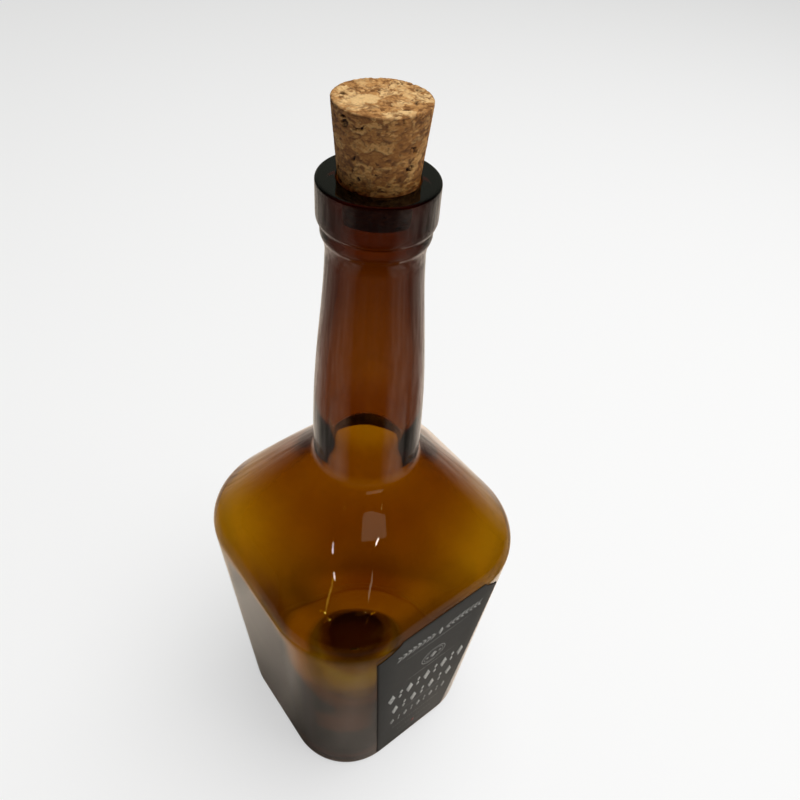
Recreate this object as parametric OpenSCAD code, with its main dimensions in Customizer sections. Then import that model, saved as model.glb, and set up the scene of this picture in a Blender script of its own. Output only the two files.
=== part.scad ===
// Square-shouldered amber glass bottle with a tapered cork stopper and a paper label.
// Millimetres. The bottle stands on z = 0, centred on the Z axis, and its label faces -Y.

/* [Body] */
// Width across the flats at the base
base_w = 75.4; // [66:0.1:84]
// Width across the flats where the shoulder begins
shoulder_w = 87.5; // [80:0.1:100]
// Height of the straight body, from the base to the shoulder's edge
body_h = 102.6; // [80:0.1:140]
// Radius of the upright corners at the base
base_corner_r = 23.1; // [16:0.1:28]
// Radius of the upright corners at the shoulder
shoulder_corner_r = 27.4; // [20:0.1:32]
// Radius of the outer edge round the foot of the body
heel_r = 1.8; // [1:0.1:3]

/* [Shoulder] */
// Radius of the rounded edge between the body and the shoulder
shoulder_edge_r = 9.4; // [6:0.1:12]
// Rise of the shoulder, from the top of the body to the foot of the neck
shoulder_h = 38.8; // [30:0.1:50]
// Radius of the hollow round the foot of the neck
neck_fillet_r = 4; // [2:0.1:6]

/* [Neck] */
// Diameter of the neck at its foot
neck_base_d = 31.7; // [28:0.1:36]
// Height of the neck, from the shoulder to the bead
neck_h = 73; // [60:0.1:90]
// Length over which the foot of the neck holds its width
neck_foot_hold = 38; // [25:1:45]
// Length over which the top of the neck holds its width
neck_top_hold = 21; // [10:1:30]
// Thickness of the glass in the neck, round the bore
neck_wall = 2.8; // [2.2:0.1:3.2]
// Thickness of the glass in the middle of the neck
neck_mid_wall = 3.3; // [2.8:0.1:3.6]

/* [Finish] */
// Diameter of the bead under the lip
bead_d = 26.2; // [25.8:0.1:27]
// Height of the bead
bead_h = 2.6; // [2:0.1:3.4]
// Height of the groove between the bead and the lip
groove_h = 0.3; // [0.2:0.1:0.8]
// Diameter of the lip
lip_d = 28; // [27.6:0.1:32]
// Height of the lip
lip_h = 10.9; // [8:0.1:14]
// Radius of the lip's upper edge
lip_edge_r = 0.8; // [0.4:0.1:1.2]
// Radius of the lip's lower edge
lip_foot_r = 1.2; // [0.6:0.1:1.6]
// Diameter of the bore that takes the stopper
bore_d = 18.2; // [17.8:0.1:19]
// Radius of the bore's rim
mouth_r = 0.6; // [0.3:0.1:1]

/* [Glass] */
// Thickness of the body's walls at their foot
body_wall = 3.3; // [2.6:0.1:4]
// Thickness of the glass at the shoulder's edge, where it is blown thinnest
edge_wall = 1.5; // [1.3:0.1:2.4]
// Thickness of the glass round the foot of the neck
foot_wall = 4.2; // [3.4:0.1:4.6]
// Thickness of the base, from its flat rest face to the floor inside
base_t = 4; // [3.4:0.1:5]
// Radius of the inside edge round the floor
floor_edge_r = 2; // [1.6:0.1:4]
// Diameter of the mound that rises from the floor inside
mound_d = 42; // [34:0.5:50]
// Diameter of the mound's flat top
mound_top_d = 16; // [10:0.5:26]
// Height of the mound
mound_h = 8.3; // [6:0.1:10]
// Diameter of the hollow under the base
punt_d = 50; // [40:0.5:54]
// Height of the hollow under the base
punt_h = 4; // [2:0.1:6]

/* [Cork] */
// Diameter of the cork's top
cork_top_d = 21.2; // [20.6:0.1:22]
// Diameter of the cork's lower end
cork_bottom_d = 16.8; // [16.2:0.1:17.4]
// Length of the cork
cork_l = 25; // [22:0.1:30]
// Radius of the cork's worn edges
cork_edge_r = 0.5; // [0.2:0.1:1]
// Clearance between the cork and the bore's rim
cork_clearance = 0.05; // [0.02:0.01:0.1]

/* [Label] */
// Height of the label's lower edge above the base
label_foot = 3.1; // [2:0.1:10]
// Height of the label
label_h = 102; // [60:0.1:102]
// Width of the label at its lower edge
label_bottom_w = 33.2; // [28:0.1:36]
// Width of the label where its upper corners are cut off
label_top_w = 49.4; // [40:0.1:52]
// Size of the two cut corners
label_cut = 8.2; // [4:0.1:10]
// Thickness of the paper
label_t = 0.15; // [0.1:0.01:0.3]
// Thickness of the glue behind the paper
glue_t = 0.02; // [0.01:0.01:0.05]

/* [Hidden] */

$fn = 96;
corner_steps = 14;                  // facets round each upright corner
edge_steps = 6;                     // facets round the shoulder's edge, the heel and the neck's foot
slope_steps = 6;                    // facets up the shoulder's slope
curve_steps = 24;                   // rings up the neck
arc_steps = 8;                      // facets round the small edges of the finish and the cork
seam = 0.2;                         // how far the neck reaches down over the shoulder's top ring
seam_lip = 0.03;                    // how far the neck stands proud of that ring
over = 1;                           // how far a cutting shape runs past what it cuts

neck_base_r = neck_base_d / 2;
bore_r = bore_d / 2;
neck_top_r = bore_r + neck_wall;
lip_r = lip_d / 2;

// Heights of the parts of the bottle, from the base up
corner_z = body_h + shoulder_h;     // where the shoulder's slope would meet the neck
bead_z = corner_z + neck_h;
lip_z = bead_z + bead_h + groove_h;
top_z = lip_z + lip_h;

// The body's sides lean out by this angle
lean = atan((shoulder_w - base_w) / 2 / body_h);

// Half the width across the flats, and the corners' centres, at a height on the straight body
function half_w(z) = (base_w + (shoulder_w - base_w) * z / body_h) / 2;
function corner_r(z) = base_corner_r + (shoulder_corner_r - base_corner_r) * z / body_h;
function corner_c(z) = half_w(z) - corner_r(z);

// The shoulder's edge is an arc that runs on from the leaning side
edge_x = half_w(body_h) - shoulder_edge_r * cos(lean);
edge_z = body_h + shoulder_edge_r * sin(lean);
// The slope is the tangent from that arc to the foot of the neck
slope = atan2(corner_z - edge_z, edge_x - neck_base_r)
    - asin(shoulder_edge_r / norm([corner_z - edge_z, edge_x - neck_base_r]));
// The hollow round the neck's foot touches the slope and the neck
fillet_reach = neck_fillet_r * tan(slope_half(slope));
function slope_half(s) = (90 - s) / 2;
fillet_x = neck_base_r + neck_fillet_r;
fillet_z = corner_z + fillet_reach;
slope_start = [edge_x + shoulder_edge_r * sin(slope), edge_z + shoulder_edge_r * cos(slope)];
slope_end = [fillet_x - neck_fillet_r * sin(slope), fillet_z - neck_fillet_r * cos(slope)];

// The section turns from a rounded square into a circle as the shoulder narrows to the neck
squareness = corner_c(body_h) / half_w(body_h);
least_flat = 0.05;
function narrowing(x) = (x - neck_base_r) / (half_w(body_h) - neck_base_r);
function shoulder_c(x) = max(least_flat, x * squareness * narrowing(x));

// A station on the skin: height, half width, corner centre, and the outward normal's two parts
function side_station(z) = [z, half_w(z), corner_c(z), 1, 0];
function edge_station(a) = let (x = edge_x + shoulder_edge_r * cos(a))
    [edge_z + shoulder_edge_r * sin(a), x, shoulder_c(x), cos(a), sin(a)];
function slope_station(t) = let (p = slope_start + (slope_end - slope_start) * t)
    [p[1], p[0], shoulder_c(p[0]), sin(slope), cos(slope)];
function fillet_station(a) = let (x = fillet_x - neck_fillet_r * cos(a))
    [fillet_z - neck_fillet_r * sin(a), x, shoulder_c(x), cos(a), sin(a)];

edge_stations = [for (i = [1 : edge_steps]) edge_station((90 - slope) * i / edge_steps)];
slope_stations = [for (i = [1 : slope_steps - 1]) slope_station(i / slope_steps)];
fillet_stations = [for (i = [0 : edge_steps]) fillet_station((90 - slope) * (1 - i / edge_steps))];
shoulder_stations = concat([side_station(body_h)], edge_stations, slope_stations, fillet_stations);

// Thickness of the glass at a height: thin at the shoulder's edge, thick at the neck's foot
wall_table = [
    [0, body_wall],
    [body_h, edge_wall],
    [body_h + shoulder_edge_r, edge_wall],
    [corner_z, foot_wall],
    [fillet_z + neck_fillet_r, foot_wall],
    [fillet_z + neck_foot_hold / 2, neck_mid_wall],
    [bead_z - neck_top_hold / 2, neck_mid_wall],
    [bead_z, neck_wall]
];
function wall(z) = lookup(z, wall_table);

// A ring of the skin, offset outward by a distance: height, half width, corner centre
function skin_ring(s, offset) = [s[0] + offset * s[4], s[1] + offset * s[3], s[2]];
// A ring of the rounded edge round a floor, below the leaning sides
function foot_ring(r, z, offset, a) =
    let (x = half_w(z + r) + offset - r / cos(lean), h = z + r + r * sin(a))
    [h, x + r * cos(a), min(corner_c(h), x + r * cos(a) - over)];

// Points of a rounded square with flats at half_width and corners centred at corner
function ring_points(ring) = [
    for (q = [0 : 3], i = [0 : corner_steps])
        let (a = 90 * (q + i / corner_steps), r = ring[1] - ring[2])
        let (sx = (q == 0 || q == 3) ? 1 : -1, sy = (q < 2) ? 1 : -1)
        [sx * ring[2] + r * cos(a), sy * ring[2] + r * sin(a), ring[0]]
];

// A closed solid through a stack of rings
module loft(rings) {
    n = 4 * (corner_steps + 1);
    last = len(rings) - 1;
    points = [for (r = rings) each ring_points(r)];
    sides = [for (j = [0 : last - 1], i = [0 : n - 1])
        let (k = (i + 1) % n)
        [j * n + i, (j + 1) * n + i, (j + 1) * n + k, j * n + k]];
    foot = [for (i = [0 : n - 1]) i];
    head = [for (i = [n - 1 : -1 : 0]) last * n + i];
    polyhedron(points, concat(sides, [foot, head]), convexity = 6);
}

// The body and shoulder, with their skin offset outward by a distance, standing at foot_z
module body_form(foot_z, foot_r, offset) {
    feet = [for (i = [0 : edge_steps]) foot_ring(foot_r, foot_z, offset, -90 + (90 - lean) * i / edge_steps)];
    skin = [for (s = shoulder_stations) skin_ring(s, offset)];
    inside_neck = [fillet_z + over, neck_base_r + offset - over, least_flat];
    loft(concat(feet, skin, [inside_neck]));
}

// The inside of the body and shoulder, up to the foot of the neck
module hollow_form() {
    feet = [for (i = [0 : edge_steps])
        foot_ring(floor_edge_r, base_t, -body_wall, -90 + (90 - lean) * i / edge_steps)];
    skin = [for (s = shoulder_stations) skin_ring(s, -wall(s[0]))];
    inside_neck = [fillet_z + over, neck_base_r - foot_wall - over, least_flat];
    loft(concat(feet, skin, [inside_neck]));
}

// The neck's profile is one curve that holds its width at both ends
function bezier(t, a, b, c, d) =
    pow(1 - t, 3) * a + 3 * pow(1 - t, 2) * t * b + 3 * (1 - t) * t * t * c + pow(t, 3) * d;
neck_rise = bead_z - fillet_z;
function neck_r(t) = bezier(t, neck_base_r, neck_base_r, neck_top_r, neck_top_r);
function neck_z(t) = fillet_z + bezier(t, 0, neck_foot_hold, neck_rise - neck_top_hold, neck_rise);
function arc(x, z, r, from, to) = [
    for (i = [0 : arc_steps]) let (a = from + (to - from) * i / arc_steps)
        [x + r * cos(a), z + r * sin(a)]
];
bead_r = bead_h / 2;

// Outside of the neck, the bead and the lip
module neck_form() {
    outline = concat(
        [[0, fillet_z - seam], [neck_base_r + seam_lip, fillet_z - seam]],
        [[neck_base_r + seam_lip, fillet_z]],
        [for (i = [1 : curve_steps]) [neck_r(i / curve_steps), neck_z(i / curve_steps)]],
        arc(bead_d / 2 - bead_r, bead_z + bead_r, bead_r, -80, 80),
        [[neck_top_r, bead_z + bead_h], [neck_top_r, lip_z]],
        arc(lip_r - lip_foot_r, lip_z + lip_foot_r, lip_foot_r, -90, 0),
        arc(lip_r - lip_edge_r, top_z - lip_edge_r, lip_edge_r, 0, 90),
        [[0, top_z]]
    );
    rotate_extrude() polygon(outline);
}

// Inside of the neck, the bore and its rounded rim
module neck_hollow() {
    inner_r = neck_base_r - foot_wall;
    outline = concat(
        [[0, fillet_z - seam], [inner_r + seam_lip, fillet_z - seam]],
        [[inner_r + seam_lip, fillet_z]],
        [for (i = [1 : curve_steps]) let (z = neck_z(i / curve_steps)) [neck_r(i / curve_steps) - wall(z), z]],
        arc(bore_r + mouth_r, top_z - mouth_r, mouth_r, 180, 90),
        [[bore_r + mouth_r, top_z + over], [0, top_z + over]]
    );
    rotate_extrude() polygon(outline);
}

// A low dome on a flat base, as a solid of revolution
module dome(d, h, foot) {
    r = d / 2;
    ball_r = (r * r + h * h) / (2 * h);
    spread = asin(r / ball_r);
    curve = [for (i = [0 : arc_steps]) let (a = spread * (1 - i / arc_steps))
        [ball_r * sin(a), h - ball_r + ball_r * cos(a)]];
    rotate_extrude() polygon(concat([[0, -foot], [r, -foot]], curve));
}

// A round mound with a flat top and soft flanks
module mound(d, top_d, h, foot) {
    flank = [for (i = [0 : 2 * arc_steps]) let (t = i / (2 * arc_steps))
        [(d + (top_d - d) * t) / 2, h * (1 - cos(180 * t)) / 2]];
    rotate_extrude() polygon(concat([[0, -foot], [d / 2, -foot]], flank, [[0, h]]));
}

// Everything inside the bottle
module hollow() {
    difference() {
        hollow_form();
        translate([0, 0, base_t]) mound(mound_d, mound_top_d, mound_h, over);
    }
    neck_hollow();
}

// One piece of moulded glass: body, shoulder, neck, bead and lip
module bottle() {
    color([0.37, 0.2, 0.04, 0.6]) difference() {
        union() {
            body_form(0, heel_r, 0);
            neck_form();
        }
        hollow();
        dome(punt_d, punt_h, over);
    }
}

// The cork wedges where its cone is as wide as the bore's rim
cork_taper = (cork_top_d - cork_bottom_d) / 2 / cork_l;
cork_in = (bore_r - cork_clearance - cork_bottom_d / 2) / cork_taper;
cork_z = top_z - mouth_r - cork_in;

module cork_stopper() {
    low_r = cork_bottom_d / 2;
    high_r = cork_top_d / 2;
    outline = concat(
        [[0, 0]],
        arc(low_r - cork_edge_r, cork_edge_r, cork_edge_r, -90, 0),
        arc(high_r - cork_edge_r, cork_l - cork_edge_r, cork_edge_r, 0, 90),
        [[0, cork_l]]
    );
    color([0.74, 0.55, 0.33]) translate([0, 0, cork_z]) rotate_extrude() polygon(outline);
}

// Outline of the label, seen from the front
module label_outline() {
    high_z = label_foot + label_h;
    cut_z = high_z - label_cut;
    polygon([
        [-label_bottom_w / 2, label_foot],
        [label_bottom_w / 2, label_foot],
        [label_top_w / 2, cut_z],
        [label_top_w / 2 - label_cut, high_z],
        [-label_top_w / 2 + label_cut, high_z],
        [-label_top_w / 2, cut_z]
    ]);
}

// The paper follows the glass a glue's thickness away from it
module front_label() {
    color([0.23, 0.23, 0.22]) intersection() {
        difference() {
            body_form(0, heel_r, glue_t + label_t);
            body_form(-over, heel_r, glue_t);
        }
        rotate([90, 0, 0]) linear_extrude(shoulder_w) label_outline();
    }
}

bottle();
cork_stopper();
front_label();
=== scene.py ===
import math

import bpy
import numpy as np
from mathutils import Matrix, Vector


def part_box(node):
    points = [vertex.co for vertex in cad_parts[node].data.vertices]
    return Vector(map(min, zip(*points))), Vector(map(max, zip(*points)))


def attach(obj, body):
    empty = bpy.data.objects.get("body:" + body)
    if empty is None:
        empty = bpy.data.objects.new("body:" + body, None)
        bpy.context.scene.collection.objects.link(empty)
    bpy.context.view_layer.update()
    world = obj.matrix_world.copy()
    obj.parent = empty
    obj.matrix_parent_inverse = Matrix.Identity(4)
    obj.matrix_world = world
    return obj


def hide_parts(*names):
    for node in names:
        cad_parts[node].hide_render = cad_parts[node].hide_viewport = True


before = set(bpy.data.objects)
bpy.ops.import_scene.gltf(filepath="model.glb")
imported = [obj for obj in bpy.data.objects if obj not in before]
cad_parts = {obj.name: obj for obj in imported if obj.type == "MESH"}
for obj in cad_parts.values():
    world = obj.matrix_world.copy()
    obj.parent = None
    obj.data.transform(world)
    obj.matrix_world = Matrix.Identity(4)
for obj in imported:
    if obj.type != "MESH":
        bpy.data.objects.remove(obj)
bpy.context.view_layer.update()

MM = 0.001
TINY = 1e-9

# ---------------------------------------------------------------- sizes, in millimetres

# The glass, as the solids have it
BASE_W = 75.4
SHOULDER_W = 87.5
BODY_H = 102.6
BASE_CORNER_R = 23.1
SHOULDER_CORNER_R = 27.4
HEEL_R = 1.8
SHOULDER_EDGE_R = 9.4
SHOULDER_H = 38.8
NECK_FILLET_R = 4.0
NECK_BASE_R = 15.85
NECK_H = 73.0
NECK_FOOT_HOLD = 38.0
NECK_TOP_HOLD = 21.0
NECK_WALL = 2.8
BEAD_H = 2.6
GROOVE_H = 0.3
LIP_R = 14.0
LIP_H = 10.9
LIP_EDGE_R = 0.8
BORE_R = 9.1
MOUTH_R = 0.6
BASE_T = 4.0
PUNT_R = 25.0
PUNT_H = 4.0
CORNER_Z = BODY_H + SHOULDER_H
BEAD_Z = CORNER_Z + NECK_H
TOP_Z = BEAD_Z + BEAD_H + GROOVE_H + LIP_H
NECK_TOP_R = BORE_R + NECK_WALL

# Height above the bead's foot and radius, from the neck over the bead and the crease to the lip's side
FINISH = [(-4.6, 11.9), (-3.6, 11.96), (-2.6, 12.08), (-1.6, 12.28), (-0.8, 12.52),
          (-0.1, 12.84), (0.6, 13.05), (1.3, 13.08), (2.0, 13.0), (2.6, 12.9),
          (2.9, 12.98), (3.3, 13.32), (3.8, 13.68), (4.5, 13.92), (5.4, 14.0)]

# Thickness of the glass, from the body up to the neck
BODY_WALL = 3.3
EDGE_WALL = 1.5
SLOPE_WALL = 1.2
FOOT_WALL = 4.2
NECK_MID_WALL = 3.3
NECK_HIGH_WALL = 3.9

# The inside: its floor's edge, the mound on the floor, and how far the shoulder's roof hangs
FLOOR_EDGE_R = 1.1
MOUND_TOP_R = 10.8
MOUND_R = 20.0
MOUND_PLACE = (4.2, 6.0)
MOUND_H = 7.6
MOUND_MARGIN = 4.0
EDGE_DROP = 1.2
EDGE_DROP_REACH = 12.0
# Height and how square the inside is there: round on the floor, square up the walls
SQUARES = [(6, 0.8), (40, 1.02)]

# What moulding and blowing leave: a swollen slope, two seams, and waves as length, seed and depth
SLOPE_BULGE = 0.45
SEAM_H = 0.05
SEAM_W = 0.4
SEAM_TURN = math.radians(51.5)
INSIDE_WAVES = [(26.0, 11, 0.16), (7.0, 31, 0.02)]
OUTSIDE_WAVE = (19.0, 57, 0.03)

GLASS_AROUND = 240
# Rings up the glass, from the heel to the lip
HEEL_RINGS = 8
BODY_RINGS = 30
ROLL_RINGS = 16
SLOPE_RINGS = 24
FILLET_RINGS = 12
NECK_RINGS = 44
PUNT_RINGS = 20
INSIDE_FLOOR_RINGS = 48
# Crowds the points of a ring towards its corners
CORNER_FOCUS = 0.7

# The cork, and the height of the bore's rim that it closes on
CORK_L = 25.0
CORK_TOP_R = 10.6
CORK_LOW_R = 8.4
CORK_EDGE_R = 0.5
CORK_GAP = 0.05
CORK_TAPER = (CORK_TOP_R - CORK_LOW_R) / CORK_L
CORK_Z = TOP_Z - MOUTH_R - (BORE_R - CORK_GAP - CORK_LOW_R) / CORK_TAPER
CORK_AROUND = 420
# Sizes in the cork's grain, all wider than high
WARP_SIZE = 1.5
MOTTLE_SIZE = np.array([0.6, 0.6, 0.38])
PATCH_SIZE = np.array([2.4, 2.4, 1.5])
BLOTCH_SIZE = np.array([1.25, 1.25, 0.62])
CHIP_SIZE = np.array([3.0, 3.0, 1.7])
SMALL_CHIP_SIZE = np.array([1.3, 1.3, 0.75])
PIT_SIZE = np.array([3.0, 3.0, 1.7])
SMALL_PIT_SIZE = np.array([1.2, 1.2, 0.8])
RIM_CHIP_SIZE = 1.3
RIM_W = 0.7
# A pale flake left of the middle of the top
FLAKE_PLACE = (-3.9, 0.6)
FLAKE_SIZE = np.array([3.4, 2.5, 1.6])
DEEPEST_PIT = 0.6

# The label and what is printed on it
LABEL_FOOT = 3.1
LABEL_H = 102.0
LABEL_BOTTOM_W = 33.2
LABEL_TOP_W = 49.4
LABEL_CUT = 8.2
LABEL_T = 0.15
GLUE_T = 0.02
INK_T = 0.015
PAPER_EDGE = 0.9
LABEL_TOP_Z = LABEL_FOOT + LABEL_H
LABEL_CUT_Z = LABEL_TOP_Z - LABEL_CUT
LAUREL_Z = 93.0
LAUREL_START = 1.8
LAUREL_REACH = 15.2
LAUREL_SWAY = 0.7
LEAF_PAIRS = 8
LEAF_L = 2.7
LEAF_LEAN = 0.85
OVAL_W = 5.0
OVAL_H = 4.9
OVAL_Z = 75.3
# Height, reach to each side, width, strength of the ink
RULES = [(LAUREL_Z - 4.6, 14.0, 0.3, 0.42), (67.6, 11.0, 0.3, 0.45),
         (38.0, 9.0, 0.25, 0.35), (9.4, 10.0, 0.25, 0.3)]
# Height, reach to each side, height of the figures, how many, strength of the ink
PRINT_ROWS = [(57.8, 15.6, 8.6, 9, 1.0), (44.0, 12.6, 8.2, 7, 0.95), (31.0, 12.4, 5.6, 9, 0.6)]
# Height, reach, width and height of a dot, how many, strength of the ink
DOT_ROWS = [(22.6, 11, 0.55, 0.9, 23, 0.3), (15.8, 8, 0.6, 0.8, 13, 0.26)]
MARK_Z = 12.4
PAPER_TONE = (0.064, 0.064, 0.060, 1)
PALE_INK = (0.62, 0.61, 0.57, 1)
RED_INK = (0.30, 0.03, 0.03, 1)

# ---------------------------------------------------------------- light, in metres

FRONT = (-0.612, -0.791, 0)
RIGHT = (0.791, -0.612, 0)
BACK = (0.52, 0.67, 0.53)
STAGE_W = 12
FLOOR_Z = -0.0002
CARD_Z = 0.0005

# A value that changes over a range is written as: from, to, value at the first, value at the second;
# without the last two it goes from 0 to 1. Distances are from the bottle's axis; angles are written as
# the share of the distance that lies in a direction.
# How bright the table shows through the glass, by distance: painted light in a pool, and a painted shadow
# under the bottle and beside it
POOL = (0.08, 0.45, 1.0, 0.5)
UNDER_MIDDLE = (0.0165, 0.0195, 0.28, 0.18)
UNDER_RING = (0.0225, 0.0270, 0.0, 0.335)
BESIDE = (0.042, 0.085, 0.0, 0.48)
# Painted brighter patches of light on the table: towards where, by angle, outer and inner edge
GLEAMS = [((0.766, 0.643, 0), (0.6, 0.97, -0.2, 0.75), (0.058, 0.048), (0.022, 0.028)),
          ((-0.643, 0.766, 0), (0.5, 0.97, 0.0, 0.85), (0.040, 0.032), (0.016, 0.025))]
FLOOR_GLOW = 0.55

# The room: how bright behind the bottle, and up to what height the glass shows it white
ROOM_DARK = (0.35, (0.008, 0.008, 0.008, 1))
ROOM_LIGHT = (0.85, (0.15, 0.155, 0.125, 1))
WALL_TOP = 0.4
WALL_FADE = 0.2

# How bright reflections find the card, whose colour is a painted reflection: behind the bottle, by
# distance
CARD_BACK = (0.05, 0.45, 0.94, 0.66)
CARD_BACK_FAR = (0.35, 1.1, 1.0, 0.25)
# In front of it, painted dark: by angle, then by distance, and again further away
CARD_TURN = (-0.25, 0.25)
CARD_AHEAD = (0.5, 0.9, 0.95, 0.42)
CARD_FALL = (0.056, 0.098)
CARD_NEAR = 1.02
CARD_FAR_FRONT = (0.2, 0.32, 0.0, 0.09)
# To the sides, that are seen in the neck: a pale part and a dim one, each by angle and by distance
FLANK_ANGLE = (0.45, 0.8, 0.0, 0.4)
FLANK_START = (0.10, 0.15)
DIM_ANGLE = (0.72, 0.98)
DIM_FADE = (0.17, 0.30, 0.6, 0.35)
DIM_START = (0.10, 0.14)
DIM_BY_SIDE = (-0.5, 0.5, 0.85, 1.2)
DIM_BY_FRONT = (0.22, 0.08)
# The card's painted reflection isn't even: soft blotches keep the reflections from looking drawn
BLOTCH_SCALE = 17.0
CARD_BLOTCH = (0.3, 0.7, 0.68, 1.34)
CARD_COLOUR = (1.0, 0.86, 0.73, 1)

KEY_PLACE = (0.3, -0.2, 1.3)
KEY_AIM = (0, 0, 0.12)
KEY_SIZE = (1.2, 1.2)
KEY_WATTS = 21.0
SHOULDER_AIM = (-0.0105, -0.020, 0.134)
WINDOW_REACH = 1.2
WINDOW_AZIMUTH = math.radians(-107.5)
WINDOW_ELEVATION = math.radians(31.35)
WINDOW_ROLL = math.radians(-12)
WINDOW_SIZE = (0.58, 0.042)
WINDOW_RADIANCE = 0.8
WINDOW_COLOUR = (1.0, 0.92, 0.62)
# Place, width and height, radiance and colour of the small lamps that glint in the shoulder
SPARKS = [((-0.928, -0.341, 0.664), (0.045, 0.0050), 30.0, (1.0, 0.97, 0.90)),
          ((-0.259, -0.945, 0.678), (0.055, 0.0050), 50.0, (1.0, 0.95, 0.75)),
          ((-0.877, -0.464, 0.662), (0.040, 0.0045), 28.0, (1.0, 0.92, 0.72)),
          ((-0.932, -0.429, 0.603), (0.014, 0.0030), 34.0, (1.0, 0.75, 0.10)),
          ((-0.876, -0.524, 0.616), (0.007, 0.0020), 26.0, (1.0, 0.65, 0.10)),
          ((-0.420, -0.932, 0.611), (0.010, 0.0024), 32.0, (1.0, 0.90, 0.70)),
          ((-0.868, -0.384, 0.726), (0.016, 0.0020), 12.0, (1.0, 0.72, 0.30)),
          ((-0.131, -0.958, 0.696), (0.040, 0.0020), 12.0, (1.0, 0.80, 0.45))]
# Two ends, width, radiance and colour of the long lamps that draw the fine upright lines there
STREAKS = [((-0.884, -0.459, 0.655), (-0.929, -0.431, 0.607), 0.024, 2.6, (1.0, 0.62, 0.06)),
           ((-0.335, -0.939, 0.646), (-0.392, -0.935, 0.622), 0.026, 2.0, (1.0, 0.80, 0.55))]

# The camera: its place before the turn, its angles in degrees, and its focal length
CAMERA_PLACE = (0, -0.14260, 0.29948)
CAMERA_TURN = -37.754
CAMERA_YAW = 3.605
CAMERA_PITCH = 44.128
CAMERA_ROLL = 5.229
SENSOR_MM = 36
LENS_MM = 31.509


# ---------------------------------------------------------------- noise

def hashed(ix, iy, iz, seed):
    """A repeatable random number from 0 to 1 for each lattice cell."""
    h = (ix.astype(np.uint32) * np.uint32(73856093)
         ^ iy.astype(np.uint32) * np.uint32(19349663)
         ^ iz.astype(np.uint32) * np.uint32(83492791)
         ^ np.uint32(seed * 2654435 + 97))
    h = (h ^ (h >> np.uint32(13))) * np.uint32(1274126177)
    h = (h ^ (h >> np.uint32(16))) * np.uint32(2246822519)
    h = h ^ (h >> np.uint32(15))
    return h.astype(np.float64) / 4294967295.0


def value_noise(p, seed):
    """Smooth noise from -1 to 1 at points p, one lattice cell a unit."""
    cell = np.floor(p).astype(np.int64)
    f = p - cell
    f = f * f * (3 - 2 * f)
    total = np.zeros(len(p))
    for dx in (0, 1):
        for dy in (0, 1):
            for dz in (0, 1):
                w = ((f[:, 0] if dx else 1 - f[:, 0])
                     * (f[:, 1] if dy else 1 - f[:, 1])
                     * (f[:, 2] if dz else 1 - f[:, 2]))
                total += w * hashed(cell[:, 0] + dx, cell[:, 1] + dy, cell[:, 2] + dz, seed)
    return total * 2 - 1


def fractal(p, seed, octaves=3):
    """Smooth noise in finer and weaker layers."""
    total, gain = np.zeros(len(p)), 1.0
    for k in range(octaves):
        total += gain * value_noise(p * 2 ** k, seed + k)
        gain *= 0.5
    return total


def cells(p, seed, jitter=0.9):
    """Nearest and second-nearest distance to scattered points, and a random number of the nearest."""
    cell = np.floor(p).astype(np.int64)
    near = np.full(len(p), 9.0)
    second = np.full(len(p), 9.0)
    tag = np.zeros(len(p))
    for dx in (-1, 0, 1):
        for dy in (-1, 0, 1):
            for dz in (-1, 0, 1):
                c = [cell[:, 0] + dx, cell[:, 1] + dy, cell[:, 2] + dz]
                d2 = np.zeros(len(p))
                for axis in range(3):
                    point = c[axis] + 0.5 + jitter * (hashed(*c, seed + axis) - 0.5)
                    d2 += (p[:, axis] - point) ** 2
                d = np.sqrt(d2)
                closer = d < near
                second = np.where(closer, near, np.minimum(second, d))
                near = np.where(closer, d, near)
                tag = np.where(closer, hashed(*c, seed + 7), tag)
    return near, second, tag


def smooth_step(low, high, x):
    """0 at low, 1 at high, and a smooth step between them."""
    t = np.clip((x - low) / (high - low), 0, 1)
    return t * t * (3 - 2 * t)


# ---------------------------------------------------------------- meshes

def make_object(name, points, faces, smooth=True):
    """A mesh object from points in millimetres."""
    mesh = bpy.data.meshes.new(name)
    mesh.from_pydata((np.asarray(points) * MM).tolist(), [], faces)
    mesh.validate()
    mesh.polygons.foreach_set("use_smooth", [smooth] * len(mesh.polygons))
    mesh.update()
    obj = bpy.data.objects.new(name, mesh)
    bpy.context.scene.collection.objects.link(obj)
    return obj


def set_attribute(obj, name, values):
    attribute = obj.data.attributes.new(name, "FLOAT", "POINT")
    attribute.data.foreach_set("value", np.asarray(values, np.float32))


# ---------------------------------------------------------------- glass

def half_w(z):
    """Half the width of the body at a height."""
    return (BASE_W + (SHOULDER_W - BASE_W) * z / BODY_H) / 2


def corner_c(z):
    """How far a rounded corner's centre is from the middle of the side, up the body."""
    return half_w(z) - BASE_CORNER_R - (SHOULDER_CORNER_R - BASE_CORNER_R) * z / BODY_H


# The side leans out by LEAN; the roll over the shoulder's edge is centred at EDGE_X, EDGE_Z;
# the slope falls by SLOPE; the fillet at the neck's foot is centred at FILLET_X, FILLET_Z
LEAN = math.atan((SHOULDER_W - BASE_W) / 2 / BODY_H)
EDGE_X = half_w(BODY_H) - SHOULDER_EDGE_R * math.cos(LEAN)
EDGE_Z = BODY_H + SHOULDER_EDGE_R * math.sin(LEAN)
EDGE_REACH = math.hypot(CORNER_Z - EDGE_Z, EDGE_X - NECK_BASE_R)
SLOPE = (math.atan2(CORNER_Z - EDGE_Z, EDGE_X - NECK_BASE_R)
         - math.asin(SHOULDER_EDGE_R / EDGE_REACH))
FILLET_X = NECK_BASE_R + NECK_FILLET_R
FILLET_Z = CORNER_Z + NECK_FILLET_R * math.tan((math.pi / 2 - SLOPE) / 2)
SQUARENESS = corner_c(BODY_H) / half_w(BODY_H)
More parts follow.
